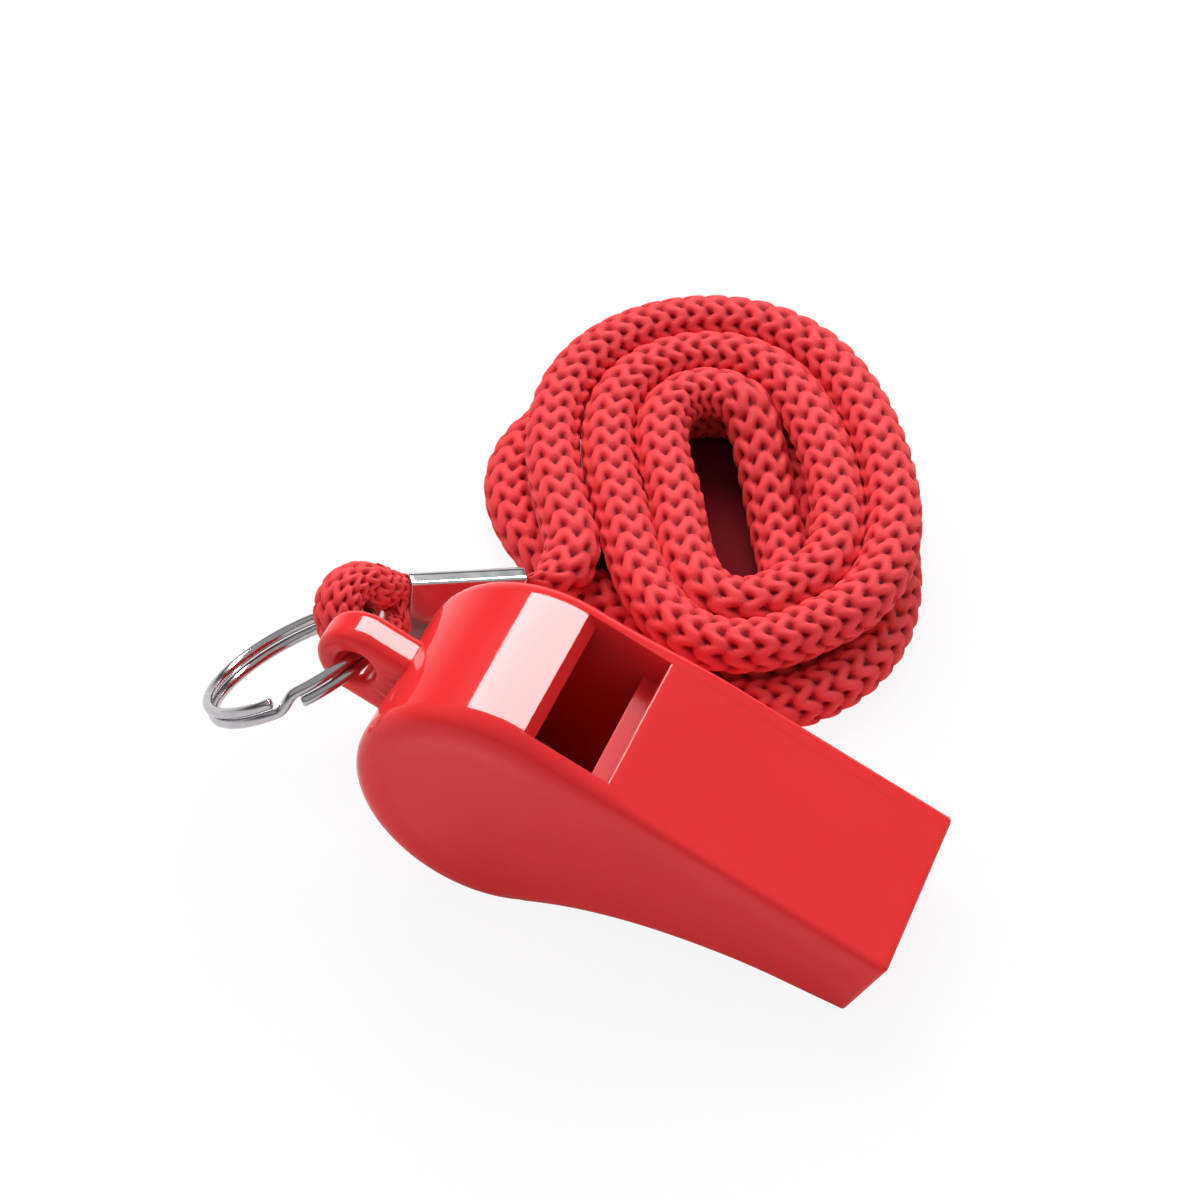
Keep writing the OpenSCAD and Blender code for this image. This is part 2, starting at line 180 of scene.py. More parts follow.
WOUND = pile(np.linspace(0, PILE_TURNS, 1400))
W0, W1 = unit(WOUND[1] - WOUND[0]), unit(WOUND[-1] - WOUND[-2])
COIL_LOW, COIL_HIGH = WOUND[0] - CORD_D * W0, WOUND[-1] + CORD_D * W1
LEAD_SIDE = unit(np.cross(SLEEVE_DIR, [0, 0, 1]))
BUTT = SLEEVE_END - (SLEEVE_L - BUTT_GAP) / 2 * SLEEVE_DIR
LOW_ROUTE = [BUTT + (PINCH_OFF - PINCH_MID) * LEAD_SIDE, SLEEVE_END + (PINCH_OFF - PINCH_MID) * LEAD_SIDE,
             [-4.9, 19.1, -6.4], [-2.1, 19.9, -8.7], COIL_LOW]
HIGH_ROUTE = [BUTT - (PINCH_OFF + PINCH_MID) * LEAD_SIDE, SLEEVE_END - (PINCH_OFF + PINCH_MID) * LEAD_SIDE,
              [-7.15, 22.8, -5.1], [-6.25, 25.1, -5.0], [-6.25, 27.65, -4.8], COIL_HIGH]


# Camera
def link(ob):
    bpy.context.scene.collection.objects.link(ob)
    return ob


def placed(axes, at):
    m = Matrix(axes).transposed().to_4x4()
    m.translation = Vector(at)
    return m


def make_camera():
    cam = bpy.data.cameras.new("camera")
    obj = link(bpy.data.objects.new("camera", cam))
    right, up, back = (0.92401, 0.38035, -0.034), (-0.25536, 0.68074, 0.68635), (0.28433, -0.62553, 0.72608)
    obj.matrix_world = placed((right, up, back), (np.array([86.693, -170.476, 220.084]) - ORIGIN) * MM)
    cam.sensor_width = 36
    cam.sensor_fit = "HORIZONTAL"
    cam.lens = 95.83
    cam.clip_start, cam.clip_end = 0.01, 20
    bpy.context.scene.camera = obj


make_camera()


# Mesh helpers
def make_object(name, verts, faces):
    """verts in millimetres with the chamber axis at zero; the object gets metres in the shared frame."""
    v = (np.asarray(verts, float) - ORIGIN) * MM
    me = bpy.data.meshes.new(name)
    me.from_pydata(v.tolist(), [], faces)
    me.update()
    return link(bpy.data.objects.new(name, me))


def shade(ob, angle=None):
    """Smooth shading, with edges sharper than angle kept sharp."""
    me = ob.data
    me.polygons.foreach_set("use_smooth", [True] * len(me.polygons))
    if angle is not None:
        bm = bmesh.new()
        bm.from_mesh(me)
        lim = math.radians(angle)
        for e in bm.edges:
            e.smooth = not (len(e.link_faces) != 2 or e.calc_face_angle(0) > lim)
        bm.to_mesh(me)
        bm.free()
    me.update()


def fix_normals(ob):
    """Welds the mesh and turns its faces outwards."""
    bm = bmesh.new()
    bm.from_mesh(ob.data)
    bmesh.ops.remove_doubles(bm, verts=bm.verts, dist=2e-6)
    bmesh.ops.recalc_face_normals(bm, faces=bm.faces)
    bm.to_mesh(ob.data)
    bm.free()
    ob.data.update()


def boolean(ob, other, operation):
    mod = ob.modifiers.new("cut", "BOOLEAN")
    mod.object, mod.operation, mod.solver = other, operation, "EXACT"
    dg = bpy.context.evaluated_depsgraph_get()
    dg.update()
    me = bpy.data.meshes.new_from_object(ob.evaluated_get(dg))
    ob.modifiers.remove(mod)
    old = ob.data
    ob.data = me
    bpy.data.meshes.remove(old)


def discard(*obs):
    for o in obs:
        me = o.data
        bpy.data.objects.remove(o)
        bpy.data.meshes.remove(me)


def join(ob, other):
    bm = bmesh.new()
    bm.from_mesh(ob.data)
    bm.from_mesh(other.data)
    bm.to_mesh(ob.data)
    bm.free()


def frames(path, side):
    """Unit tangents, side vectors square to them, and the third direction."""
    t = np.gradient(path, axis=0)
    t /= np.linalg.norm(t, axis=1)[:, None]
    s = side - (side * t).sum(1)[:, None] * t
    s /= np.linalg.norm(s, axis=1)[:, None]
    return t, s, np.cross(t, s)


def grid_faces(n, m):
    """Quads between n closed rows of m points."""
    i, j = np.meshgrid(np.arange(n - 1), np.arange(m), indexing="ij")
    k = (j + 1) % m
    return np.stack([i * m + j, i * m + k, (i + 1) * m + k, (i + 1) * m + j], -1).reshape(-1, 4)


# Knitted cord: columns of stitches round the cord, each of two slanted legs, in as many sectors.
RINGS_PER_STITCH, LEG_RISE = 8, 0.55
CORD_SECTORS, EYE_SECTORS, EYE_PITCH, SECTOR_POINTS = 12, 20, 1.35, 4
FULL_HALF = 2.3


def stitch(u, v):
    """Height of the knit at sector coordinate u and stitch coordinate v, a tone with painted shade in the holes and
    grooves and painted light on the legs' crests, and the place across the leg.
    """
    k = np.floor(u)
    f = u - k
    tri = np.where(np.mod(k, 2) < 0.5, f, 1 - f)
    tri = mix(tri, 0.5 - 0.5 * np.cos(np.pi * tri), 0.6)
    q = v - LEG_RISE * tri
    q = q - np.round(q)
    edge = np.abs(f - 0.5) * 2
    bar = 1 - np.abs(2 * q) ** 2.2
    groove = np.abs(2 * q) ** 2.4
    hole = smooth((groove - 0.1) / 0.7) * smooth((edge - 0.2) / 0.65)
    h = 0.26 * bar - 0.12 - 0.10 * edge ** 4 - 0.55 * hole
    # painted light and shade: lighter on the legs' crests, darker at the wales' edges and much darker in the holes
    tone = np.clip(0.55 + 0.45 * bar - 0.10 * edge ** 3 - 0.62 * hole, 0, 1)
    return h, tone, q


def resample(path, side, sizes, pitch_at):
    """Rings at an even share of a stitch along the path. pitch_at gives the stitch length at each point."""
    step = np.linalg.norm(np.diff(path, axis=0), axis=1)
    pitch = pitch_at(path)
    v = np.concatenate([[0], np.cumsum(step / (0.5 * (pitch[1:] + pitch[:-1])))])
    count = int(round(v[-1] * RINGS_PER_STITCH))
    want = np.linspace(0, v[-1], count + 1)
    path, side, sizes = (np.stack([np.interp(want, v, a[:, c]) for c in range(a.shape[1])], 1)
                         for a in (path, side, sizes))
    return path, side, sizes, want


def knit_tube(name, path, side, sizes, pitch_at, twist=0.35, sectors=CORD_SECTORS, lift=0.0):
    """Knitted tube along a path, whose knit colour attribute carries the stitches' painted shade and painted light.
    sizes holds half widths, and lift makes the yarn lighter as painted light.
    """
    path, side, sizes, v = resample(path, side, sizes, pitch_at)
    _, s, b = frames(path, side)
    n, m = len(path), sectors * SECTOR_POINTS
    along = np.concatenate([[0], np.cumsum(np.linalg.norm(np.diff(path, axis=0), axis=1))])
    turn = twist * np.sin(along / 23.0 + 0.6) + 0.5 * twist * np.sin(along / 9.7)
    u = np.arange(m) / SECTOR_POINTS
    uu, vv = np.meshgrid(u, v)
    h, tone, q = stitch(uu, vv)
    phi = 2 * np.pi * uu / sectors + turn[:, None]
    ea, eb = np.cos(phi), np.sin(phi)
    a = sizes[:, 0:1] + h * np.minimum(1, sizes[:, 0:1] / FULL_HALF)
    c = sizes[:, 1:2] + h * np.minimum(1, sizes[:, 1:2] / FULL_HALF)
    verts = path[:, None] + (a * ea)[..., None] * s[:, None] + (c * eb)[..., None] * b[:, None]
    verts = verts.reshape(-1, 3)
    faces = grid_faces(n, m)
    first, last = len(verts), len(verts) + 1
    verts = np.concatenate([verts, path[:1], path[-1:]])
    caps = [[first, (j + 1) % m, j] for j in range(m)]
    caps += [[last, (n - 1) * m + j, (n - 1) * m + (j + 1) % m] for j in range(m)]
    ob = make_object(name, verts, faces.tolist() + caps)
    me = ob.data
    # the knit attribute holds painted shade in the holes and painted light on the crests, raised by lift; the end caps
    # get a fixed tone of 0.3
    painted_tone_all = np.concatenate([np.minimum(tone.reshape(-1) + lift, 1), [0.3, 0.3]])
    col = me.color_attributes.new("knit", "FLOAT_COLOR", "POINT")
    col.data.foreach_set("color", np.repeat(painted_tone_all[:, None], 4, 1).astype(np.float32).ravel())
    # place across and along each leg, for the yarn's fibres
    uv = me.uv_layers.new(name="yarn")
    loops = np.zeros(len(me.loops), np.int64)
    me.loops.foreach_get("vertex_index", loops)
    qa = np.concatenate([q.reshape(-1), [0, 0]])
    ua = np.concatenate([uu.reshape(-1), [0, 0]])
    val = np.stack([qa[loops], ua[loops]], 1)
    wrap = np.zeros(len(loops), bool)
    quads = len(faces)
    lu = val[:quads * 4, 1].reshape(-1, 4)
    wrap_q = (lu.max(1) - lu.min(1)) > sectors / 2
    fix = (lu < sectors / 2) & wrap_q[:, None]
    wrap[:quads * 4] = fix.ravel()
    val[wrap, 1] += sectors
    uv.data.foreach_set("uv", val.astype(np.float32).ravel())
    shade(ob)
    return ob


def pitch_near(path):
    """The knit is drawn a little longer on the near side of the pile."""
    t = np.gradient(path, axis=0)
    head = np.arctan2(t[:, 1], t[:, 0])
    return 2.3 + 0.25 * np.cos(2 * (head + math.radians(45)))


# half width and half height of the cord as it lies
CORD_A, CORD_B = 2.7, 2.4


def make_cord():
    """The neck cord from end to end, with its centre line at even steps and its length."""
    low = through(LOW_ROUTE, SLEEVE_DIR, W0, 40)
    high = through(HIGH_ROUTE, SLEEVE_DIR, -W1, 40)
    line = np.concatenate([low[:-1], WOUND, high[::-1][1:]])
    along = np.concatenate([[0], np.cumsum(np.linalg.norm(np.diff(line, axis=0), axis=1))])
    even = np.linspace(0, along[-1], 3000)
    line = np.stack([np.interp(even, along, line[:, c]) for c in range(3)], 1)
    # from its pressed end the cord swells to its full size past the sleeve
    from_end = np.minimum(even, even[-1] - even)
    swell = smooth((from_end - 5.0) / 6.5)[:, None]
    sizes = mix(np.array([[PINCH_A, PINCH_B]]), np.array([[CORD_A, CORD_B]]), swell)
    side = np.cross(np.gradient(line, axis=0), [0.0, 0.0, 1.0])
    return knit_tube("neck_cord", line, side, sizes, pitch_near), line, along[-1]


cord, cord_path, CORD_LENGTH = make_cord()


# Eye of the cord round the ring's wire
def eye_path():
    """Centre line, side vectors and half widths, from one pressed end round the wire to the other."""
    to_rim = RIM - EYE
    leg_dir = unit(to_rim - (to_rim @ WIRE_DIR) * WIRE_DIR)
    across = np.cross(WIRE_DIR, leg_dir)
    rim = RIM - PINCH_MID * LEAD_SIDE
    butt = rim + (SLEEVE_L - BUTT_GAP) / 2 * SLEEVE_DIR
    pull = np.linalg.norm(to_rim)
    t = np.arange(60) / 60
    legs = [hermite(rim + k * PINCH_OFF * LEAD_SIDE, -SLEEVE_DIR * pull, EYE + k * BEND_R * across, -leg_dir * pull, t)
            for k in (1, -1)]
    # the two legs are pressed against each other up to the wire, so the fold reads as one knot
    full = 2.0
    centre = BEND_R + BEND_A - full - 0.12
    outer = mix(3.2, centre + full, smooth(t))
    inner = mix(0.06, centre - full, smooth((t - 0.84) / 0.16))
    start = mix(PINCH_OFF, 0.5 * (outer + inner), smooth(t / 0.25))
    half = 0.5 * (legs[0] - legs[1])
    half = half / np.linalg.norm(half, axis=1)[:, None]
    mid = 0.5 * (legs[0] + legs[1])
    legs = [mid + k * start[:, None] * half for k in (1, -1)]
    thick = mix(PINCH_A, 0.5 * (outer - inner), smooth(t / 0.25))
    leg_size = np.stack([thick, mix(PINCH_B, BEND_B, smooth(t))], 1)
    a = np.radians(np.linspace(0, 180, 80))[:, None]
    bend = EYE + centre * (np.cos(a) * across - np.sin(a) * leg_dir)
    k = np.arange(30)[:, None] / 30
    tail = [mix(butt + s * PINCH_OFF * LEAD_SIDE, rim + s * PINCH_OFF * LEAD_SIDE, k) for s in (1, -1)]
    tail_size = np.repeat([[PINCH_A, PINCH_B]], 30, 0)
    path = np.concatenate([tail[0], legs[0], bend, legs[1][::-1], tail[1][::-1]])
    size = np.concatenate([tail_size, leg_size, np.repeat([[full, BEND_B]], 80, 0), leg_size[::-1], tail_size])
    keep = np.concatenate([[True], np.linalg.norm(np.diff(path, axis=0), axis=1) > 1e-4])
    path, size = path[keep], size[keep]
    # the section is turned upright in the sleeve and square to the wire at the fold
    turn = smooth(t / 0.5)
    way = np.concatenate([np.zeros(30), turn, np.ones(80), turn[::-1], np.zeros(30)])[keep][:, None]
    upright = np.where(np.arange(len(path)) < len(path) // 2, -1.0, 1.0)[:, None] * LEAD_SIDE
    tan = np.gradient(path, axis=0)
    tan /= np.linalg.norm(tan, axis=1)[:, None]
    return path, mix(upright, np.cross(WIRE_DIR, tan), way), size


# the eye's yarn is painted lighter than the rest of the cord by lift: painted light
eye = knit_tube("cord_eye_knit", *eye_path(), lambda p: np.full(len(p), EYE_PITCH), twist=0.5, sectors=EYE_SECTORS,
                lift=0.14)


# Split ring
def sweep(name, path, side, radius, sides, round_end):
    """Round wire along a path, with its ends rounded over."""
    t, s, b = frames(path, side)
    path = np.concatenate([[path[0] - t[0] * round_end], path, [path[-1] + t[-1] * round_end]])
    rad = np.full(len(path), radius)
    rad[[0, -1]] -= round_end
    s = np.concatenate([s[:1], s, s[-1:]])
    b = np.concatenate([b[:1], b, b[-1:]])
    phi = (2 * np.pi * np.arange(sides) / sides)[None, :, None]
    v = path[:, None] + rad[:, None, None] * (np.cos(phi) * s[:, None] + np.sin(phi) * b[:, None])
    n = len(path)
    faces = grid_faces(n, sides).tolist()
    faces.append(list(range(sides))[::-1])
    faces.append([(n - 1) * sides + j for j in range(sides)])
    ob = make_object(name, v.reshape(-1, 3), faces)
    fix_normals(ob)
    return ob


def ring_path():
    """Two turns of wire: half is half the jog's angle, and back is how far each end stops short of it."""
    half, back = math.radians(7.5), math.radians(1.5)
    a = np.linspace(half + back, 4 * math.pi - half - back, 400)
    # the height goes from the lower turn to the upper one through the jog at a full turn
    z = -TURN_RISE / 2 + TURN_RISE * smooth((a - (2 * math.pi - half)) / (2 * half))
    ang = a + JOG_ANGLE
    side = np.cos(ang)[:, None] * RX + np.sin(ang)[:, None] * RY
    return RING_MID + RING_R * side + z[:, None] * RN, side


ring = sweep("split_ring_wire", *ring_path(), WIRE_D / 2, 20, 0.12)
shade(ring, 50)


# Crimp sleeve: pressed flat and standing on edge, its near face leaning a little away from the whistle
SLEEVE_CORNERS = ((2.6, -3.72, 1.0), (2.6, 3.72, 1.0), (0.4, 3.72, 0.45), (-0.9, -3.72, 0.6))
CORNER_POINTS = 10


def sleeve_section(n, grow):
    """Section of n points square to the sleeve, grown inwards: first coordinate away from the whistle, second up.

    SLEEVE_CORNERS gives each corner's place and radius."""
    pts, k = [], len(SLEEVE_CORNERS)
    for i in range(k):
        p, before, after = (np.array(SLEEVE_CORNERS[q % k][:2]) for q in (i, i - 1, i + 1))
        r = SLEEVE_CORNERS[i][2]
        d1, d2 = unit(before - p), unit(after - p)
        half = math.acos(d1 @ d2) / 2
        mid = p + unit(d1 + d2) * r / math.sin(half)
        for t in np.linspace(0, 1, CORNER_POINTS):
            pts.append(mid - r * unit(mix(mid - p - d1 * r / math.tan(half), mid - p - d2 * r / math.tan(half), t)))
    p = np.array(pts)
    out = []
    for i in range(len(p)):
        m = 1 if (i + 1) % CORNER_POINTS else (n - (CORNER_POINTS - 1) * k) // k
        out += [mix(p[i], p[(i + 1) % len(p)], t) for t in np.arange(m) / m]
    p = np.array(out)
    t = np.roll(p, -1, 0) - np.roll(p, 1, 0)
    nrm = np.stack([t[:, 1], -t[:, 0]], 1)
    nrm /= np.linalg.norm(nrm, axis=1)[:, None]
    return p - grow * nrm, nrm


def make_sleeve():
    """Rows of the section along the outside, round both edges and back along the bore."""
    n = 120
    e, w = 0.18, SLEEVE_WALL
    steps = [(e - e * math.sin(math.radians(a)), e - e * math.cos(math.radians(a))) for a in np.linspace(0, 90, 5)]
    prof = steps + [(0.0, z) for z in np.linspace(0.6, SLEEVE_L - 0.6, 24)]
    prof += [(d, SLEEVE_L - z) for d, z in steps[::-1]]
    prof += [(w, SLEEVE_L)] + [(w, z) for z in np.linspace(SLEEVE_L - 0.6, 0.6, 12)] + [(w, 0.0)]
    side = -LEAD_SIDE
    up = np.cross(SLEEVE_DIR, side)
    rows = []
    for d, z in prof:
        p, nrm = sleeve_section(n, d)
        # two shallow dents of the pressing tool in the outer face
        dent = sum(math.exp(-((z - mid * SLEEVE_L) / 0.8) ** 2) for mid in (0.3, 0.7))
        p = p - (0.12 * dent * (nrm[:, 0:1] > 0.95)) * nrm * np.cos(np.clip(p[:, 1:2] / 3.2, -1, 1) * math.pi / 2)
        rows.append(RIM + SLEEVE_DIR * z + p[:, 0:1] * side + p[:, 1:2] * up)
    v = np.concatenate(rows)
    k = len(prof)
    faces = grid_faces(k, n).tolist()
    faces += [[(k - 1) * n + j, (k - 1) * n + (j + 1) % n, (j + 1) % n, j] for j in range(n)]
    ob = make_object("crimp_sleeve_tube", v, faces)
    fix_normals(ob)
    shade(ob, 40)
    return ob


sleeve = make_sleeve()


# Whistle skin
def spoke_2d(a):
    return np.array([math.cos(a), math.sin(a)])


def skin_outline():
    """Points round the side view, each with its place, inward normal and kind, and the facts of the two tip corners."""
    pts = []

    def edge(p, n, kind):
        pts.append((np.asarray(p, float), np.asarray(n, float), kind))

    for a in np.linspace(math.pi / 2, BELLY_A0 + math.pi, 110):
        edge(BARREL_R * spoke_2d(a), -spoke_2d(a), "barrel")
    for a in np.linspace(BELLY_A0, BELLY_A1, 44)[1:]:
        edge(BELLY_MID + BELLY_R * spoke_2d(a), spoke_2d(a), "belly")
    run0 = BELLY_MID + BELLY_R * spoke_2d(BELLY_A1)
    rc = 0.35
    tip_up = np.array([REACH, BARREL_R])
    end_dir = unit(tip_up - TIP_LOW)
    end_in = np.array([-end_dir[1], end_dir[0]])
    run_in = -RUN_OUT
    top_in = np.array([0.0, -1.0])

    def corner_mid(c, n1, n2, r1, r2):
        return c + np.linalg.solve(np.array([n1, n2]), np.array([r1, r2]))

    q_low = corner_mid(TIP_LOW, run_in, end_in, rc, rc)
    q_up = corner_mid(tip_up, end_in, top_in, rc, rc)
    start = q_low - rc * run_in
    for t in np.linspace(0, 1, 14)[1:-1]:
        edge(mix(run0, start, t), run_in, "run")
    for t in np.linspace(0, 1, 7):
        d = -unit(mix(run_in, end_in, t))
        edge(q_low + rc * d, -d, "low")
    for t in np.linspace(0, 1, 12)[1:-1]:
        edge(mix(q_low - rc * end_in, q_up - rc * end_in, t), end_in, "end")
    for t in np.linspace(0, 1, 7):
        d = -unit(mix(end_in, top_in, t))
        edge(q_up + rc * d, -d, "up")
    for t in np.linspace(0, 1, 60)[1:-1]:
        edge(mix(q_up - rc * top_in, np.array([0.0, BARREL_R]), t), top_in, "top")

    def low_corner(off_run, off_end):
        return corner_mid(TIP_LOW, run_in, end_in, off_run, off_end)

    def up_corner(off_top, off_end):
        return corner_mid(tip_up, top_in, end_in, off_top, off_end)

    return pts, rc, {"low": (q_low, low_corner), "up": (q_up, up_corner)}


ROUND_FILLET, TIP_FILLET = 2.1, 0.8


def fillet_at(x, kind):
    """Radius of the rounding between the side faces and the rim of the whistle."""
    if kind in ("end", "low", "up"):
        return TIP_FILLET
    if kind == "barrel":
        return ROUND_FILLET
    return mix(ROUND_FILLET, TIP_FILLET, smooth(x / 15.0 if kind == "top" else (x - 4) / 22.0))


DISH_FROM, DISH_WIDE, DISH_DEEP = 0.3, 2.2, 0.2
DISH_FROM_TIP, DISH_WIDE_TIP = 0.7, 2.88


def make_skin():
    """The closed skin: rings over the fillet and the dish of one side face, across the rim, and back on the other."""
    pts, rc, corners = skin_outline()
    low_corner, up_corner = corners["low"][1], corners["up"][1]
    rings = []
    profile = [(True, math.sin(a), 1 - math.cos(a)) for a in np.linspace(0, math.pi / 2, 7)]
    profile += [(False, t, 0) for t in np.linspace(0.0, 1.0, 8)]
    for on_fillet, s1, s2 in profile:
        row = []
        # offsets at the two tip corners, from the edges that meet there
        if on_fillet:
            o_side = o_end = TIP_FILLET * s2
        else:
            o_side = TIP_FILLET + DISH_FROM + DISH_WIDE * s1
            o_end = TIP_FILLET + DISH_FROM_TIP + DISH_WIDE_TIP * s1
        for p, n, kind in pts:
            rf = fillet_at(p[0], kind)
            if on_fillet:
                off, deep = rf * s2, rf - rf * s1
            else:
                off, deep = rf + DISH_FROM + DISH_WIDE * s1, DISH_DEEP * smooth(s1)
            if kind == "end":
                off = o_end
            if kind in corners:
                q, corner = corners[kind]
                pos = q - n * (rc - off) if on_fillet and off <= rc else corner(o_side, o_end)
            else:
                pos = p + n * off
                lo, up = low_corner(off, o_end), up_corner(off, o_end)
                if kind in ("run", "belly") and (pos - lo) @ RUN_DIR > 0:
                    pos = pos - ((pos - lo) @ RUN_DIR) * RUN_DIR
                if kind == "top" and pos[0] > up[0]:
                    pos = np.array([up[0], pos[1]])
                if kind == "end":
                    lo, up = low_corner(o_side, off), up_corner(o_side, off)
                    pos = lo if pos[1] < lo[1] else up if pos[1] > up[1] else pos
            row.append((pos[0], deep, pos[1]))
        rings.append(np.array(row))
    n = len(pts)
    half = BODY_W / 2
    near = [np.stack([r[:, 0], -(half - r[:, 1]), r[:, 2]], 1) for r in rings]
    far = [np.stack([r[:, 0], half - r[:, 1], r[:, 2]], 1) for r in rings]
    # rings across the straight width keep its normals true next to the fillets and the window
    across = [near[0] + np.array([0, y, 0]) for y in (0.15, 0.5, 1.2)]
    across += [mix(across[-1], far[0] - np.array([0, 1.2, 0]), t) for t in np.linspace(0.12, 0.88, 7)]
    across += [far[0] - np.array([0, y, 0]) for y in (1.2, 0.5, 0.15)]
    rows = near[::-1] + across + far
    v = np.concatenate(rows)
    faces = grid_faces(len(rows), n).tolist()
    faces.append(list(range(n)))
    faces.append([(len(rows) - 1) * n + j for j in range(n)][::-1])
    ob = make_object("whistle_body", laid(v), faces)
    fix_normals(ob)
    return ob


def prism(name, poly, y0, y1):
    """Cutter with a side-view outline, from y0 to y1."""
    n = len(poly)
    p = np.asarray(poly, float)
    v = np.concatenate([np.stack([p[:, 0], np.full(n, y), p[:, 1]], 1) for y in (y0, y1)])
    faces = [[i, (i + 1) % n, n + (i + 1) % n, n + i] for i in range(n)]
    faces += [list(range(n))[::-1], [n + i for i in range(n)]]
    ob = make_object(name, laid(v), faces)
    fix_normals(ob)
    return ob


def make_lug():
    """A tab with a hole: rings from the hole's wall over the rounded faces to the outer edge."""
    c = np.array([-LUG_REACH, -LUG_DROP])
    x_in = -11.2
    m = 120
    dirs = np.array([spoke_2d(2 * math.pi * (i + 0.5) / m) for i in range(m)])
    outer, normal = [], []
    for d in dirs:
        if d[0] <= 0:
            outer.append(c + LUG_R * d)
            normal.append(-d)
        else:
            k = min((x_in - c[0]) / max(abs(d[0]), 1e-9), LUG_R / max(abs(d[1]), 1e-9))
            outer.append(c + k * d)
            normal.append(np.array([0.0, -np.sign(d[1])]) if k * abs(d[1]) >= LUG_R - 1e-6 else np.array([0.0, 0.0]))
    outer, normal = np.array(outer), np.array(normal)
    # the inner end is a straight cut through the rounded bar
    end = (np.abs(outer[:, 0] - x_in) < 1e-6)
    normal[end] = np.stack([np.zeros(end.sum()), -(outer[end, 1] - c[1]) / LUG_R], 1)
    hole = c + LUG_HOLE / 2 * dirs
    # half thickness, and the roundings of the outer edge and of the hole
    h, rf, rh = LUG_T / 2, 1.05, 0.55
    rows = [(outer, h - rf - 0.12)]
    for a in np.linspace(0, math.pi / 2, 6):
        rows.append((outer + normal * rf * (1 - math.cos(a)), h - rf + rf * math.sin(a)))
    rows.append((outer + normal * (rf + 0.1), h))
    rows.append((hole + dirs * (rh + 0.1), h))
    for a in np.linspace(math.pi / 2, 0, 5):
        rows.append((hole + dirs * rh * (1 - math.cos(a)), h - rh + rh * math.sin(a)))
    rows.append((hole, h - rh - 0.1))
    rows = [(p, -y) for p, y in rows] + rows[::-1]
    v = [np.stack([p[:, 0], np.full(m, y), p[:, 1]], 1) for p, y in rows]
    k = len(v)
    faces = grid_faces(k, m).tolist()
    faces += [[(k - 1) * m + j, (k - 1) * m + (j + 1) % m, (j + 1) % m, j] for j in range(m)]
    ob = make_object("lug", laid(np.concatenate(v)), faces)
    fix_normals(ob)
    return ob


def arc(c, r, a0, a1, n):
    return [(c[0] + r * math.cos(a0 + (a1 - a0) * i / n), c[1] + r * math.sin(a0 + (a1 - a0) * i / n))
            for i in range(n + 1)]


def make_body():
    """The skin is split at the side plate's seam, and the body is hollowed and gets its window and lug."""
    body = make_skin()
    plate = link(body.copy())
    plate.data = body.data.copy()
    plate.name = "side_plate"
    split = BODY_W / 2 - SIDE_WALL
    big = prism("half", [(-40, -40), (60, -40), (60, 40), (-40, 40)], split, 30)
    boolean(body, big, "DIFFERENCE")
    boolean(plate, big, "INTERSECT")
    chamber = prism("chamber", arc((0, 0), CHAMBER_R, 0, 2 * math.pi, 160)[:-1], -split, 20)
    under = arc(BELLY_MID, BELLY_R + BARREL_WALL, BELLY_A0 - math.radians(3), BELLY_A1, 40)
    tip = TIP_LOW - BARREL_WALL * RUN_OUT + 2 * RUN_DIR
    pocket = prism("pocket", [(0, 0)] + under + [tuple(tip), (REACH + 2, ROOF_Z), (0, ROOF_Z)], -split, 20)
    front = WINDOW_L - WINDOW_BACK
    soft = 0.1
    lip = arc((front + soft, BARREL_R - soft), soft, math.pi, math.pi / 2, 12)
    bevel_end = BEVEL - WINDOW_BACK
    window = prism("window", [(-WINDOW_BACK, BARREL_R + 1), (-WINDOW_BACK, BARREL_R), (bevel_end, BARREL_R - BEVEL),
                              (bevel_end, FLOOR_Z), (front, FLOOR_Z)] + lip
                   + [(front + soft, BARREL_R + 1)], -split, split)
    lug = make_lug()
    for cutter in (chamber, pocket, window):
        boolean(body, cutter, "DIFFERENCE")
    join(body, lug)
    discard(big, chamber, pocket, window, lug)
    for ob in (body, plate):
        fix_normals(ob)
        shade(ob, 32)
    return body, plate


body, plate = make_body()


# Node helpers
def wire(nt, node, inputs):
    """Links each named input to a socket, or sets its value."""
    for name, x in inputs.items():
        if isinstance(x, bpy.types.NodeSocket):
            nt.links.new(x, node.inputs[name])
        else:
            node.inputs[name].default_value = x
    return node


def add(nt, kind, inputs=None):
    return wire(nt, nt.nodes.new("ShaderNode" + kind), inputs or {})


def cleared(tree):
    for n in list(tree.nodes):
        tree.nodes.remove(n)
    return tree


def ramp(nt, fac, stops):
    n = add(nt, "ValToRGB", {"Fac": fac})
    el = n.color_ramp.elements
    while len(el) > 1:
        el.remove(el[-1])
    el[0].position, el[0].color = stops[0][0], (*stops[0][1], 1)
    for pos, col in stops[1:]:
        el.new(pos).color = (*col, 1)
    return n.outputs["Color"]


def noise(nt, vector, scale, detail):
    return add(nt, "TexNoise", {"Vector": vector, "Scale": scale, "Detail": detail}).outputs["Fac"]


def bump(nt, height, strength, distance, extra=None):
    inputs = {"Height": height, "Strength": strength, "Distance": distance}
    return add(nt, "Bump", {**inputs, **(extra or {})}).outputs["Normal"]


def calc(nt, operation, a, b):
    n = add(nt, "Math", {0: a, 1: b})
    n.operation = operation
    return n.outputs[0]


def map_range(nt, value, from_min, from_max, to_min, to_max):
    return add(nt, "MapRange", {"Value": value, "From Min": from_min, "From Max": from_max, "To Min": to_min,
                                "To Max": to_max}).outputs["Result"]


# Materials
def material(name, principled=True):
    m = bpy.data.materials.new(name)
    m.use_nodes = True
    nt = cleared(m.node_tree)
    out = add(nt, "OutputMaterial")
    if not principled:
        return m, nt, out
    b = add(nt, "BsdfPrincipled")
    wire(nt, out, {"Surface": b.outputs[0]})
    return m, nt, b


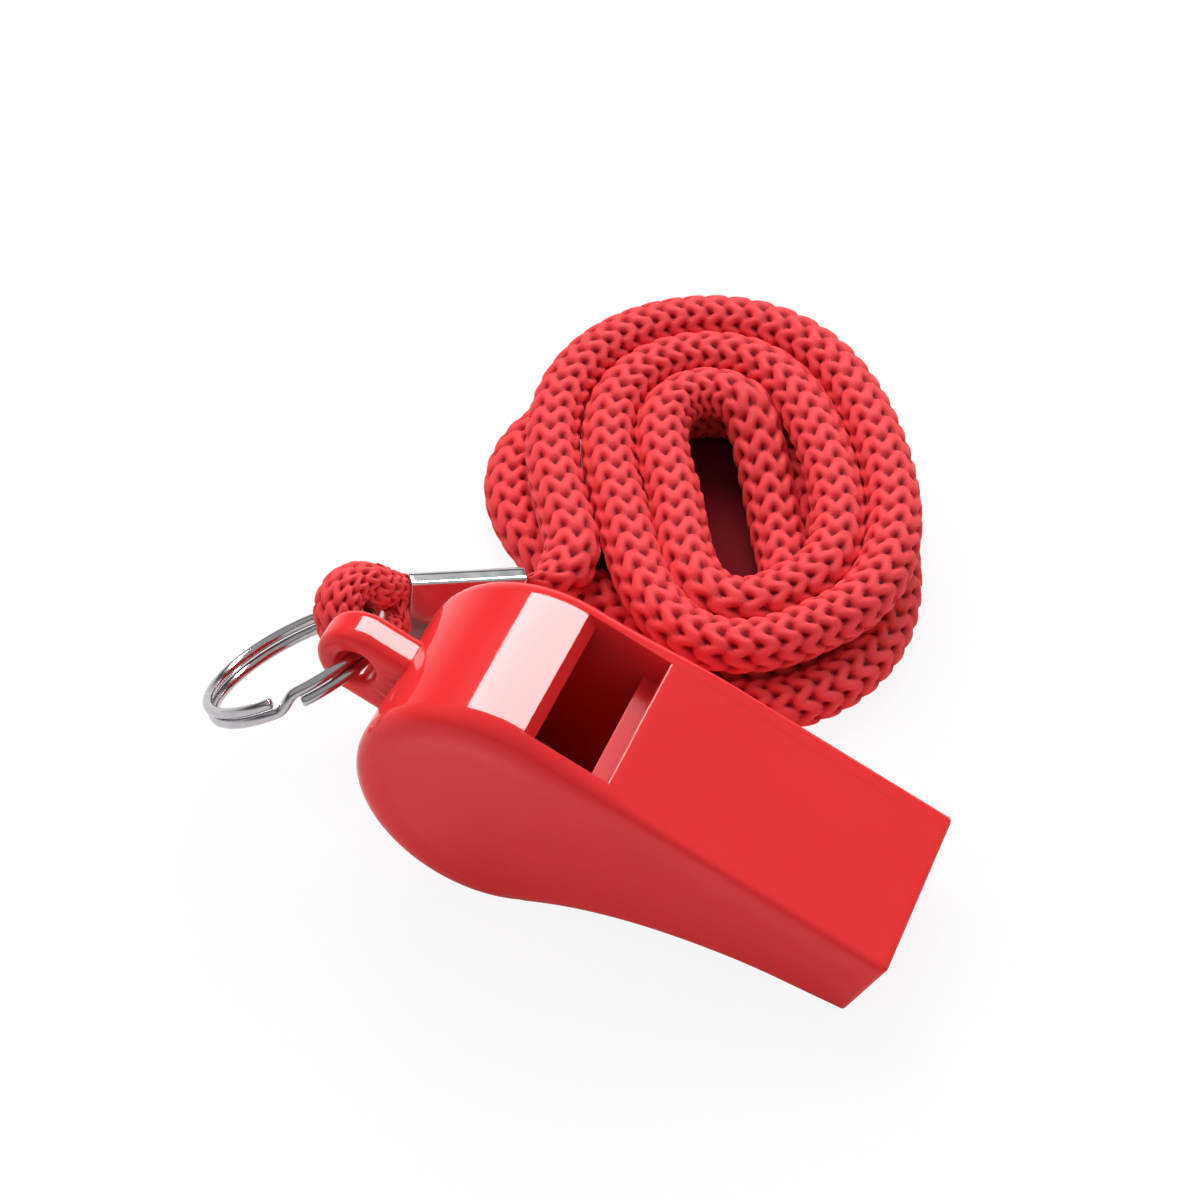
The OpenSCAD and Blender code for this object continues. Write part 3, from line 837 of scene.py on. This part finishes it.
def plastic(name, low, high):
    """Glossy moulded plastic, from roughness low to high, with edges a tenth of a millimetre soft."""
    m, nt, b = material(name)
    place = add(nt, "TexCoord").outputs["Object"]
    tint, grain = noise(nt, place, 90, 3), noise(nt, place, 420, 4)
    bevel = add(nt, "Bevel", {"Radius": 0.0001})
    bevel.samples = 4
    wire(nt, b, {
        "Base Color": ramp(nt, tint, [(0.3, (0.82, 0.03, 0.033)), (0.7, (0.86, 0.035, 0.038))]),
        "Roughness": map_range(nt, grain, 0, 1, low, high),
        "Normal": bump(nt, grain, 0.02, 0.0002, {"Normal": bevel.outputs["Normal"]}),
        "IOR": 1.5,
        "Specular IOR Level": 0.18,
        "Subsurface Weight": 0.12,
        "Subsurface Radius": (1.0, 0.12, 0.08),
        "Subsurface Scale": 0.0015,
    })
    return m


def knit():
    """Polyester yarn: painted shade in the stitches' holes and painted light on the legs' crests by the mesh's own knit
    attribute, with fine fibres.
    """
    m, nt, b = material("cord_knit")
    painted_knit_shade = add(nt, "Attribute")
    painted_knit_shade.attribute_name = "knit"
    uv = add(nt, "UVMap")
    uv.uv_map = "yarn"
    along = add(nt, "Mapping", {"Vector": uv.outputs["UV"], "Scale": (14, 1.6, 1)})
    fibre = noise(nt, along.outputs["Vector"], 1.0, 3)
    tone = calc(nt, "ADD", calc(nt, "MULTIPLY", fibre, 0.36), calc(nt, "SUBTRACT", painted_knit_shade.outputs["Fac"], 0.18))
    wire(nt, b, {
        # base colour from painted shade (near black red in the holes) to painted light (bright red crests), varied by
        # the fibres
        "Base Color": ramp(nt, tone, [(0.0, (0.16, 0.001, 0.003)), (0.3, (0.36, 0.006, 0.01)),
                                      (0.6, (0.7, 0.026, 0.032)), (1.0, (0.92, 0.072, 0.078))]),
        "Normal": bump(nt, fibre, 0.35, 0.00012),
        "Roughness": 0.66,
        "Specular IOR Level": 0.14,
        "Sheen Weight": 0.08,
        "Sheen Roughness": 0.45,
        "Sheen Tint": (1.0, 0.45, 0.42, 1),
        "Subsurface Weight": 0.1,
        "Subsurface Radius": (1.0, 0.15, 0.1),
        "Subsurface Scale": 0.0008,
    })
    return m


def metal(name, base, low, high, scale):
    """Bright plated steel, a little uneven in tone and gloss."""
    m, nt, b = material(name)
    wear = noise(nt, add(nt, "TexCoord").outputs["Object"], scale, 5)
    wire(nt, b, {
        "Base Color": ramp(nt, wear, [(0.3, tuple(0.9 * c for c in base)), (0.65, base)]),
        "Roughness": map_range(nt, wear, 0, 1, low, high),
        "Normal": bump(nt, wear, 0.03, 0.0001),
        "Metallic": 1.0,
    })
    return m


def cork():
    m, nt, b = material("cork")
    place = add(nt, "TexCoord").outputs["Object"]
    cells = add(nt, "TexVoronoi", {"Vector": place, "Scale": 900})
    wire(nt, b, {
        "Base Color": ramp(nt, noise(nt, place, 500, 6), [(0.35, (0.16, 0.075, 0.03)), (0.5, (0.42, 0.24, 0.12)),
                                                          (0.7, (0.56, 0.36, 0.2))]),
        "Normal": bump(nt, cells.outputs["Distance"], 0.5, 0.0002),
        "Roughness": 0.85,
    })
    return m


PLASTIC, INNER = plastic("whistle_plastic", 0.05, 0.1), plastic("windway_plastic", 0.32, 0.42)
KNIT, CORK = knit(), cork()
CHROME = metal("ring_steel", (0.52, 0.5, 0.52), 0.08, 0.16, 900)
BRIGHT = metal("sleeve_metal", (0.66, 0.66, 0.67), 0.06, 0.14, 600)


def dress(ob, mat):
    ob.data.materials.clear()
    ob.data.materials.append(mat)


for piece, mat, slot, carrier, nodes in (
        (body, PLASTIC, "whistle_plastic", "whistle", ["body_shell"]),
        (plate, PLASTIC, "whistle_plastic", "whistle", ["side_cover"]),
        (ring, CHROME, "ring_steel", "ring", ["split_ring"]),
        (sleeve, BRIGHT, "sleeve_metal", "lanyard", ["crimp_sleeve"]),
        (eye, KNIT, "cord_knit", "lanyard", ["cord_eye"]),
        (cord, KNIT, "cord_knit", "lanyard", ["lanyard_coil", "cord_lead_low", "cord_lead_high"])):
    dress(piece, mat)
    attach(piece, carrier)
    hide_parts(*nodes)
dress(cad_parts["windway_block"], INNER)
dress(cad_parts["pea"], CORK)
[tuple(p) for p in (cord_path[::4] - ORIGIN) * MM]


# Floor, world and lamps
WHITE = (1, 1, 1, 1)
FLOOR_HALF, FLOOR_LEVEL = 3.0, -0.0001
# middle of the coil on the floor, and the half axes of the oval within which the floor is painted with a dark red
# shadow
PAINTED_SHADOW_MIDDLE, PAINTED_SHADOW_HALF = PILE_AT + PILE_LEAN / 2 - [0.9, 0.3], (0.0245, 0.0183, 1.0)


def make_floor():
    """White to the camera, with a painted dark red shadow in its own colour where ambient occlusion finds the coil
    closing over it.
    """
    corners = [(x * FLOOR_HALF, y * FLOOR_HALF, FLOOR_LEVEL) for x, y in ((-1, -1), (1, -1), (1, 1), (-1, 1))]
    me = bpy.data.meshes.new("floor")
    me.from_pydata(corners, [], [(0, 1, 2, 3)])
    ob = link(bpy.data.objects.new("floor", me))
    m, nt, out = material("floor", principled=False)
    rays = add(nt, "LightPath").outputs
    ao = add(nt, "AmbientOcclusion", {"Distance": 0.03})
    ao.samples = 16
    light = ao.outputs["AO"]
    oval = nt.nodes.new("ShaderNodeMapping")
    oval.vector_type = "TEXTURE"
    wire(nt, oval, {"Vector": add(nt, "TexCoord").outputs["Object"],
                    "Location": (*((PAINTED_SHADOW_MIDDLE - ORIGIN[:2]) * MM), 0.0),
                    "Rotation": (0.0, 0.0, PILE_HEADING), "Scale": PAINTED_SHADOW_HALF})
    far = add(nt, "VectorMath", {0: oval.outputs["Vector"]})
    far.operation = "LENGTH"
    rim = map_range(nt, far.outputs["Value"], 0.56, 1.02, 0.0, 0.9)
    # painted shadow: inside the oval, where ambient occlusion is low, the floor's colour turns dark red and its white
    # glow to the camera is taken away
    outside_painted_shadow = map_range(nt, calc(nt, "ADD", light, rim), 0.55, 0.9, 0.0, 1.0)
    ground = add(nt, "BsdfDiffuse", {"Color": ramp(nt, outside_painted_shadow, [(0.0, (0.16, 0.012, 0.018)), (1.0, (0.9, 0.9, 0.9))])})
    glow = add(nt, "Emission", {"Color": WHITE, "Strength": 1.0})
    seen = calc(nt, "MAXIMUM", rays["Is Camera Ray"], rays["Is Transmission Ray"])
    # mirrored, the floor's white glow fades by ambient occlusion under and beside the object, so reflections show its
    # real shade and its painted shadow
    mirrored = calc(nt, "MULTIPLY", rays["Is Glossy Ray"], map_range(nt, light, 0.5, 1.0, 0.0, 0.6))
    share = calc(nt, "MULTIPLY", calc(nt, "MAXIMUM", calc(nt, "MULTIPLY", seen, outside_painted_shadow), mirrored), 0.9)
    mixed = add(nt, "MixShader", {0: share, 1: ground.outputs[0], 2: glow.outputs[0]})
    wire(nt, out, {"Surface": mixed.outputs[0]})
    me.materials.append(m)


def make_world():
    """Even light, with white behind the object and a banded room in its reflections."""
    world = bpy.data.worlds.new("studio")
    bpy.context.scene.world = world
    world.use_nodes = True
    nt = cleared(world.node_tree)
    rays = add(nt, "LightPath").outputs
    ambient = add(nt, "Background", {"Color": WHITE, "Strength": 0.5})
    white = add(nt, "Background", {"Color": WHITE, "Strength": 1.0})
    # mirrored surroundings by height: white walls, a dark band and a grey ceiling
    height = add(nt, "SeparateXYZ", {0: add(nt, "TexCoord").outputs["Generated"]}).outputs["Z"]
    bands = ((0.0, 0.9), (0.15, 0.8), (0.36, 0.15), (0.5, 0.1), (0.63, 0.55), (1.0, 0.5))
    room = add(nt, "Background", {"Color": ramp(nt, height, [(z, (c, c, c)) for z, c in bands])})
    last = ambient
    for ray, shader in (("Is Glossy Ray", room), ("Is Camera Ray", white), ("Is Transmission Ray", white)):
        last = add(nt, "MixShader", {0: rays[ray], 1: last.outputs[0], 2: shader.outputs[0]})
    add(nt, "OutputWorld", {"Surface": last.outputs[0]})


def softbox(name, direction, distance, size_x, size_y, radiance, x_axis):
    """Area lamp that faces the middle of the object from a direction, its long side along x_axis."""
    lamp = bpy.data.lights.new(name, "AREA")
    lamp.shape = "RECTANGLE"
    lamp.size, lamp.size_y = size_x, size_y
    lamp.energy = radiance * math.pi * size_x * size_y
    ob = link(bpy.data.objects.new(name, lamp))
    z, x = Vector(unit(direction)), Vector(unit(x_axis))
    x = (x - x.dot(z) * z).normalized()
    ob.matrix_world = placed((x, z.cross(x), z), z * distance)
    return ob


make_floor()
make_world()
# a long strip behind and above the object, which the chamber's round top mirrors
strip = softbox("strip", (-0.0253, 0.6265, 0.779), 0.598, 0.475, 0.12, 38.0, (1, 0, 0))
strip.visible_diffuse = False
soft = softbox("soft", (-0.32, 0.55, 0.77), 1.0, 0.6, 0.6, 7.4, (0, 1, 0))
soft.visible_glossy = False

bpy.context.scene.view_settings.view_transform = "Standard"
